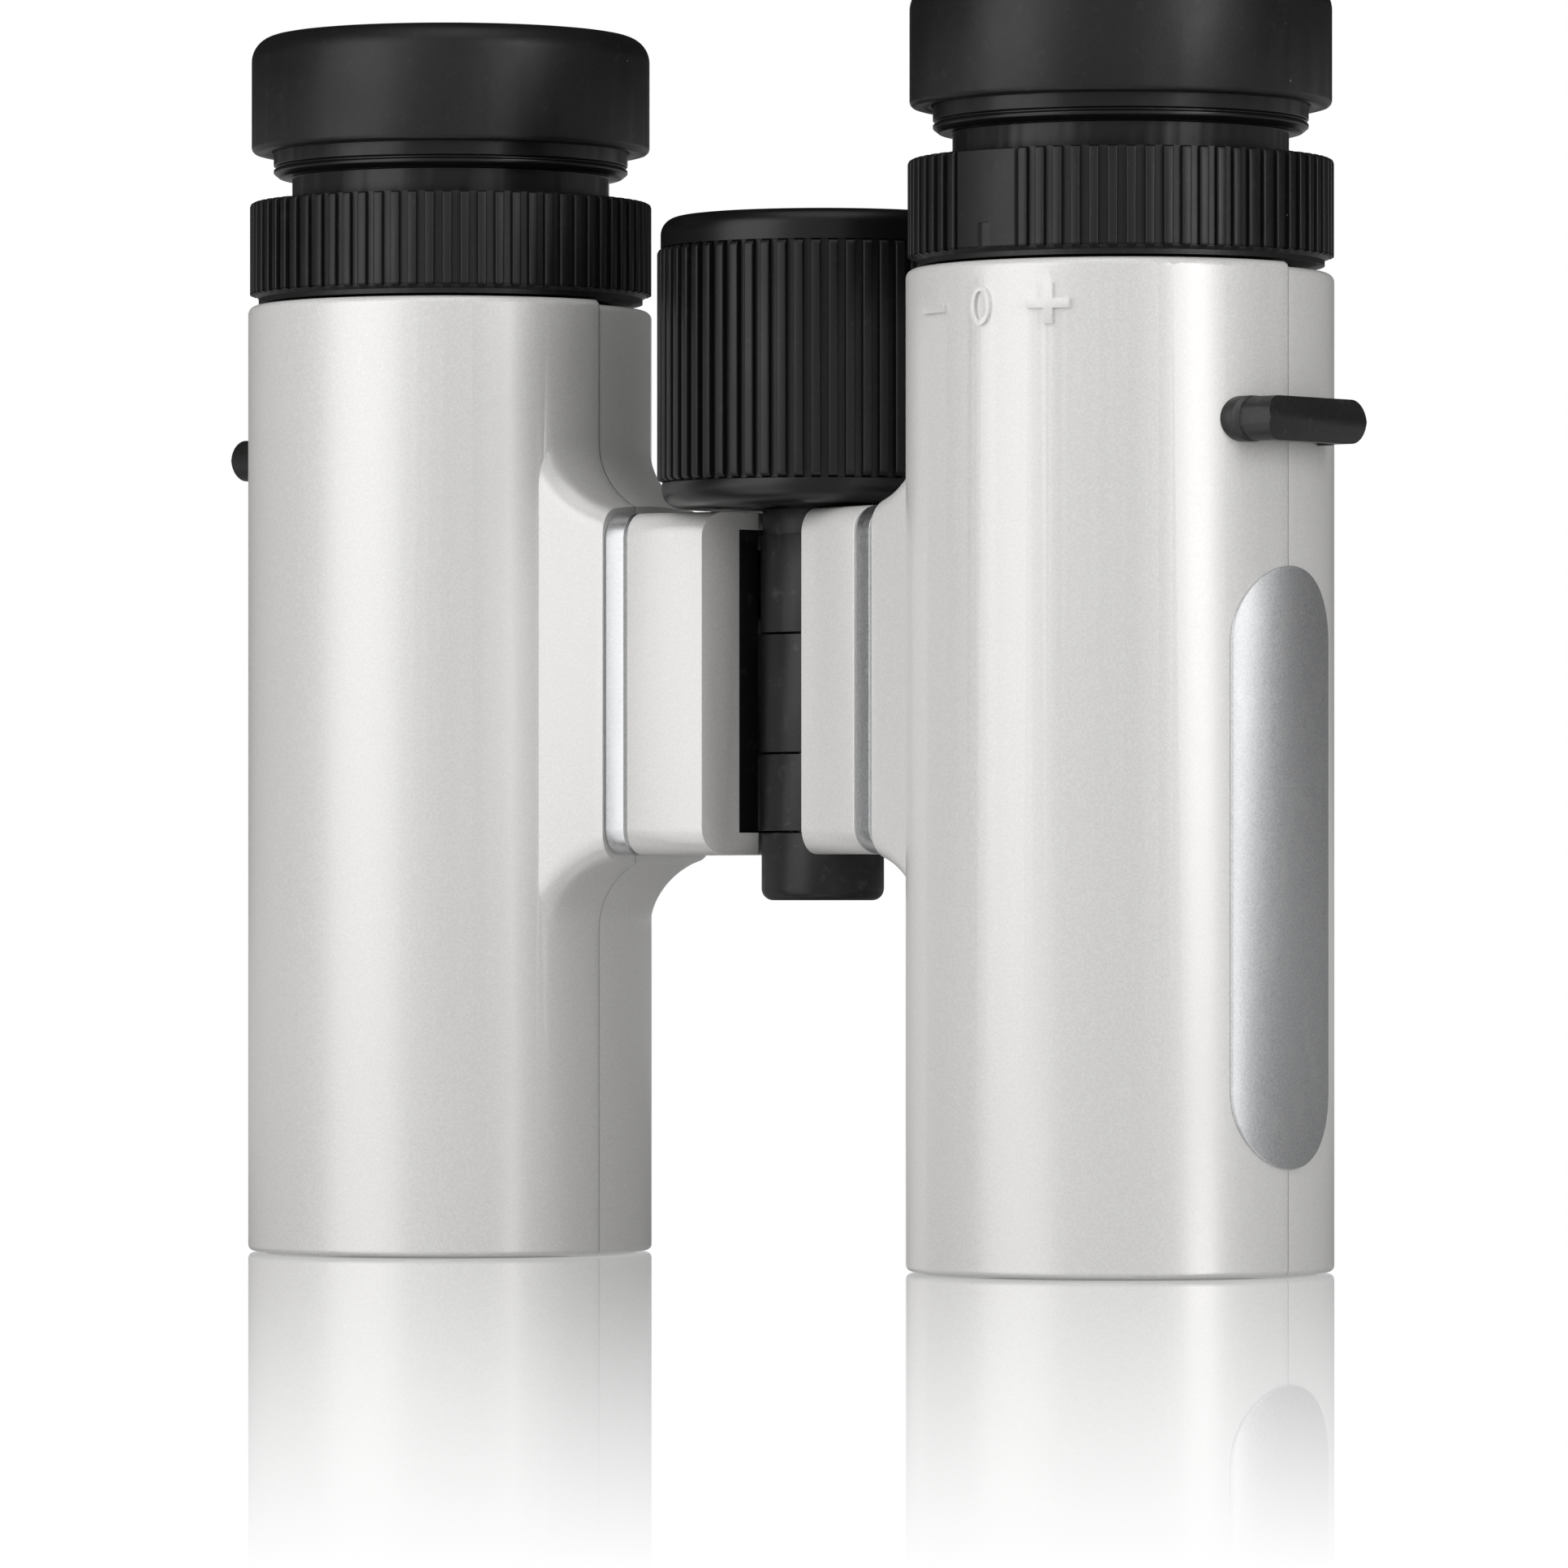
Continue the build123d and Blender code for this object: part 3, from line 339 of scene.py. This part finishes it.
def silver():
    """Satin metal paint with sparkling grain and faint rubbed streaks."""
    material, wires, shader = new_material("satin_silver")
    grain = wires.noise(4200, 4, 0.7)
    rubbed = wires.noise(900, 3, 0.6, stretch=(1, 1, 0.25))
    colour = wires.mix(wires.spread(grain, 0, 1), (0.56, 0.57, 0.585), (0.78, 0.785, 0.79))
    colour = wires.mix(wires.spread(rubbed, 0, 0.35, 0.45, 0.75), colour, (0.78, 0.78, 0.78))
    wires.give(shader.inputs["Base Color"], colour)
    wires.give(shader.inputs["Roughness"], wires.spread(grain, 0.30, 0.44))
    shader.inputs["Metallic"].default_value = 1.0
    wires.give(shader.inputs["Normal"], wires.bump(grain, 0.18, 0.02 * MM))
    return material


def dark_surface(name, dark, light, rough, grain_scale, depth, dust=0.0, scuffs=0.0):
    """A black moulded or painted surface with fine grain, and dust or scuffs if wanted."""
    material, wires, shader = new_material(name)
    grain = wires.noise(grain_scale, 5, 0.7)
    handled = wires.noise(140, 3)
    colour = wires.mix(wires.spread(grain, 0, 1), dark, light)
    shine = wires.spread(handled, rough - ROUGHNESS_RANGE, rough + ROUGHNESS_RANGE)
    if scuffs:
        rubbed = wires.spread(wires.noise(650, 5, 0.75), 0, scuffs, 0.58, 0.72)
        colour = wires.mix(rubbed, colour, (0.055, 0.053, 0.051))
    if dust:
        specks = wires.specks(DUST_PER_METRE, DUST_RADIUS, DUST_SHARE)
        specks = wires.math("MULTIPLY", specks, dust)
        colour = wires.mix(specks, colour, (0.24, 0.235, 0.23))
    wires.give(shader.inputs["Base Color"], colour)
    wires.give(shader.inputs["Roughness"], shine)
    wires.give(shader.inputs["Normal"], wires.bump(grain, 0.3, depth))
    return material


def metal(name, first, second, rough):
    """Turned metal, with fine marks that run round its axis."""
    material, wires, shader = new_material(name)
    turned = wires.noise(1500, 4, 0.6, stretch=(1, 1, 3))
    wires.give(shader.inputs["Base Color"], wires.mix(turned, first, second))
    shine = wires.spread(turned, rough - ROUGHNESS_RANGE, rough + ROUGHNESS_RANGE)
    wires.give(shader.inputs["Roughness"], shine)
    shader.inputs["Metallic"].default_value = 1.0
    wires.give(shader.inputs["Normal"], wires.bump(turned, 0.1, 0.01 * MM))
    return material


def glass(name, tint, coat_tint=None):
    """Clear glass, with a coloured reflection if it is coated."""
    material, wires, shader = new_material(name)
    clear = tuple(0.94 * part for part in tint)
    wires.give(shader.inputs["Base Color"], wires.mix(wires.noise(40), clear, tint))
    shader.inputs["Transmission Weight"].default_value = 1.0
    shader.inputs["Roughness"].default_value = 0.01
    shader.inputs["IOR"].default_value = 1.52
    if coat_tint:
        shader.inputs["Coat Weight"].default_value = 0.8
        shader.inputs["Coat Tint"].default_value = (*coat_tint, 1)
    return material


def make_materials():
    """One material for each slot of the frame."""
    return {
        "white_paint": pearl_white(),
        "silver_trim": silver(),
        "black_rubber": dark_surface(
            "matte_rubber", (0.006, 0.006, 0.0063), (0.010, 0.010, 0.0104), 0.42, 2800,
            0.04 * MM, dust=0.8, scuffs=0.25,
        ),
        "black_plastic": dark_surface(
            "satin_black_plastic", (0.004, 0.004, 0.0043), (0.007, 0.007, 0.0073), 0.34, 3400,
            0.02 * MM, dust=0.5,
        ),
        "black_metal": dark_surface(
            "black_anodised", (0.006, 0.006, 0.0063), (0.010, 0.010, 0.0104), 0.40, 3900,
            0.02 * MM, scuffs=0.8,
        ),
        "steel": metal("machined_steel", (0.42, 0.42, 0.43), (0.58, 0.58, 0.59), 0.3),
        "brass": metal("machined_brass", (0.62, 0.46, 0.20), (0.74, 0.56, 0.28), 0.3),
        "coated_glass": glass("coated_glass", (0.93, 0.95, 0.97), (0.55, 0.45, 0.85)),
        "clear_glass": glass("clear_glass", (0.96, 0.98, 0.98)),
    }


def badge_metal():
    """Blasted metal: fine bright grain that spreads the reflection of the lights."""
    material, wires, shader = new_material("blasted_badge_metal")
    grain = wires.noise(FLAKE_SCALE, 5, 0.75)
    patches = wires.noise(700, 4, 0.6, stretch=(1, 1, 0.5))
    colour = wires.mix(wires.spread(grain, 0, 1), (0.62, 0.63, 0.65), (0.92, 0.925, 0.93))
    colour = wires.mix(wires.spread(patches, 0, 0.3, 0.5, 0.75), colour, (0.95, 0.95, 0.95))
    wires.give(shader.inputs["Base Color"], colour)
    wires.give(shader.inputs["Roughness"], wires.spread(grain, 0.40, 0.52))
    shader.inputs["Metallic"].default_value = 0.92
    wires.give(shader.inputs["Normal"], wires.bump(grain, 0.35, 0.03 * MM))
    return material


def dress_cad_nodes(materials):
    """Gives every CAD node its slot's material, or a finish of its own."""
    own_finish = {
        "badge": badge_metal(),
        "belly_shell": pearl_white("pearl_white_shells", BARRELS["right"].y),
        "strap_lug": dark_surface(
            "glossy_moulding", (0.014, 0.0138, 0.0136), (0.024, 0.0235, 0.023), 0.36, 2600,
            0.03 * MM, dust=0.6, scuffs=0.6,
        ),
    }
    own_finish["top_shell"] = own_finish["belly_shell"]
    for entry in frame["record"]["subparts"]:
        node = entry["node"]
        piece = node.removeprefix("left_").removeprefix("right_")
        data = nodes[node].data
        data.materials.clear()
        data.materials.append(own_finish.get(piece, materials[entry["material_slot"]]))


# ---- Softened edges -------------------------------------------------------------------------
# Widths of the bevels that round the edges of the pieces that show, in millimetres.
EDGE_ROUNDING = {
    "arm_cap": 0.30, "badge": 0.05, "belly_shell": 0.16, "top_shell": 0.16, "strap_lug": 0.22,
    "hinge_arm": 0.20, "objective_cell": 0.10, "eyepiece_tube": 0.12, "eyepiece_bezel": 0.08,
    "eyecup_carrier": 0.08, "arm_band": 0.07, "focus_link": 0.1, "objective_ring": 0.08,
    "eyecup_rubber": 0.50,
}
ROUNDED_ON_HINGE = {"hinge_front_cap": 0.12, "hinge_bush": 0.1, "focus_wheel_hub": 0.12}
WELD_DISTANCE = 0.002 * MM
FLAT_ANGLE, EDGE_ANGLE = radians(0.5), radians(30)
BEVEL_SEGMENTS = 3


def soften_edges():
    """Rounds the sharp edges of the pieces that show, over their CAD meshes."""
    wanted = dict(ROUNDED_ON_HINGE)
    for side in ("left", "right"):
        wanted.update({f"{side}_{name}": size for name, size in EDGE_ROUNDING.items()})
    for name, size in wanted.items():
        node = nodes[name]
        for face in node.data.polygons:
            face.use_smooth = True
        joined = node.modifiers.new("joined", "WELD")
        joined.merge_threshold = WELD_DISTANCE
        flat = node.modifiers.new("flat", "DECIMATE")
        flat.decimate_type = "DISSOLVE"
        flat.angle_limit = FLAT_ANGLE
        rounding = node.modifiers.new("rounding", "BEVEL")
        rounding.width = size * MM
        rounding.segments = BEVEL_SEGMENTS
        rounding.limit_method = "ANGLE"
        rounding.angle_limit = EDGE_ANGLE
        rounding.use_clamp_overlap = True
        rounding.harden_normals = True


# ---- Ribbed sleeves -------------------------------------------------------------------------
RIB_CORNER = 0.13 * MM
CORNER_STEPS = (0, 0.134, 0.5, 1)    # along a rounded corner: depth as a share of its radius
SHARP_ANGLE = radians(38)
GRIP_RIBS, GRIP_RIB_SHARE = 60, 0.55    # ribs all round, and the share of a pitch that is rib
OCULAR_RIBS, OCULAR_RIB_SHARE = 72, 0.52
SMOOTH_FIELD, FIELD_STEPS = radians(20), 24


def shade_by_angle(mesh):
    """Smooth shading, with the edges that really are edges kept sharp."""
    shape = bmesh.new()
    shape.from_mesh(mesh)
    bmesh.ops.recalc_face_normals(shape, faces=shape.faces)
    for face in shape.faces:
        face.smooth = True
    for edge in shape.edges:
        edge.smooth = len(edge.link_faces) == 2 and edge.calc_face_angle() < SHARP_ANGLE
    shape.to_mesh(mesh)
    shape.free()


def rib_outline(count, share, root, crest, field=0.0, field_radius=0.0):
    """Angles and radii once round a ribbed sleeve, with rounded crests to its ribs.

    field is the angle about -Y that has no ribs, at field_radius instead.
    """
    pitch = 2 * pi / count
    half = share * pitch / 2
    start = -pi / 2 + field / 2
    outline = []
    for rib in range(count - round(field / pitch)):
        middle = start + (rib + 0.5) * pitch
        side = [(-half, root)] + [
            (-half + RIB_CORNER / crest * along, crest - RIB_CORNER * deep)
            for along, deep in zip(CORNER_STEPS, reversed(CORNER_STEPS))
        ]
        outline += [(middle + turned, radius) for turned, radius in side]
        outline += [(middle - turned, radius) for turned, radius in reversed(side)]
    if field:
        outline += [
            (start - field + field * step / FIELD_STEPS, field_radius)
            for step in range(FIELD_STEPS + 1)
        ]
    return outline


def ribbed_sleeve(name, node, body, centre, outline, ends, inside, mark=None):
    """A closed ribbed sleeve in place of a CAD node.

    ends lists (height, greatest radius) up the outside, inside lists (radius, height) down the
    inside, and mark gives a raised line on the smooth field: half its angle, its lowest and
    highest points and its radius.
    """
    rows = []
    for height, limit in ends:
        row = []
        for turned, radius in outline:
            if mark and abs(turned + pi / 2) < mark[0] and mark[1] < height < mark[2]:
                radius = mark[3]
            row.append((turned, min(radius, limit), height))
        rows.append(row)
    rows += [[(turned, radius, height) for turned, _ in outline] for radius, height in inside]
    around = len(outline)
    points = [
        (centre.x + radius * cos(turned), centre.y + radius * sin(turned), height)
        for row in rows for turned, radius, height in row
    ]
    faces = []
    for row in range(len(rows)):
        above = (row + 1) % len(rows)
        for step in range(around):
            after = (step + 1) % around
            faces.append((
                row * around + step, row * around + after,
                above * around + after, above * around + step,
            ))
    mesh = bpy.data.meshes.new(name)
    mesh.from_pydata(points, [], faces)
    shade_by_angle(mesh)
    piece = bpy.data.objects.new(name, mesh)
    bpy.context.scene.collection.objects.link(piece)
    mesh.materials.append(nodes[node].data.materials[0])
    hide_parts(node)
    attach(piece, body)


def grip_sleeve():
    """The ribbed rubber of the focus wheel."""
    low, high = (corner.z for corner in map(Vector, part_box("focus_wheel_grip")))
    root, crest, inner = 13.4 * MM, 14.0 * MM, 12.9 * MM
    slope = 0.35 * MM
    ends = [
        (low, root), (low + slope / 2, crest - slope / 2), (low + slope, crest - 0.05 * MM),
        (low + 1.5 * slope, crest), (high - 1.5 * slope, crest),
        (high - slope, crest - 0.05 * MM), (high - slope / 2, crest - slope / 2), (high, root),
    ]
    ribbed_sleeve(
        "wheel_grip_sleeve", "focus_wheel_grip", "focus_wheel", HINGE,
        rib_outline(GRIP_RIBS, GRIP_RIB_SHARE, root, crest), ends,
        [(inner, high), (inner, low)],
    )


def ocular_sleeve(name, node, body, side):
    """The knurled ring under an eyecup. The right one has a smooth field and an index line."""
    low, high = (corner.z for corner in map(Vector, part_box(node)))
    root, crest, smooth = 16.9 * MM, 17.35 * MM, 17.2 * MM
    sleeve_hole, hollow = 13.9 * MM, 15.6 * MM
    lid, base = 0.9 * MM, 1.5 * MM
    foot = low + 0.75 * MM
    mark_low, mark_high, mark_half = 82.5 * MM, 84.5 * MM, 0.45 * MM
    step = 0.06 * MM
    ends = [
        (low, root - 0.3 * MM), (low + 0.4 * MM, root - 0.3 * MM), (foot - step, root),
        (foot, crest - 0.1 * MM), (foot + 0.1 * MM, crest), (mark_low, crest),
        (mark_low + step, crest), (mark_high - step, crest), (mark_high, crest),
        (high - 0.35 * MM, crest), (high - 0.12 * MM, crest - 0.08 * MM),
        (high, crest - 0.3 * MM),
    ]
    inside = [
        (sleeve_hole, high), (sleeve_hole, high - lid), (hollow, high - lid),
        (hollow, low + base), (sleeve_hole, low + base), (sleeve_hole, low),
    ]
    field, mark = 0, None
    if side == "right":
        field, mark = SMOOTH_FIELD, (mark_half / crest, mark_low, mark_high, crest)
    outline = rib_outline(OCULAR_RIBS, OCULAR_RIB_SHARE, root, crest, field, smooth)
    ribbed_sleeve(name, node, body, BARRELS[side], outline, ends, inside, mark)


def add_sleeves():
    grip_sleeve()
    ocular_sleeve("diopter_sleeve", "diopter_ring", "diopter_ring", "right")
    ocular_sleeve("left_ocular_sleeve", "left_ocular_ring", "left_half", "left")


add_camera()
add_studio()
materials = make_materials()
dress_cad_nodes(materials)
soften_edges()
add_sleeves()
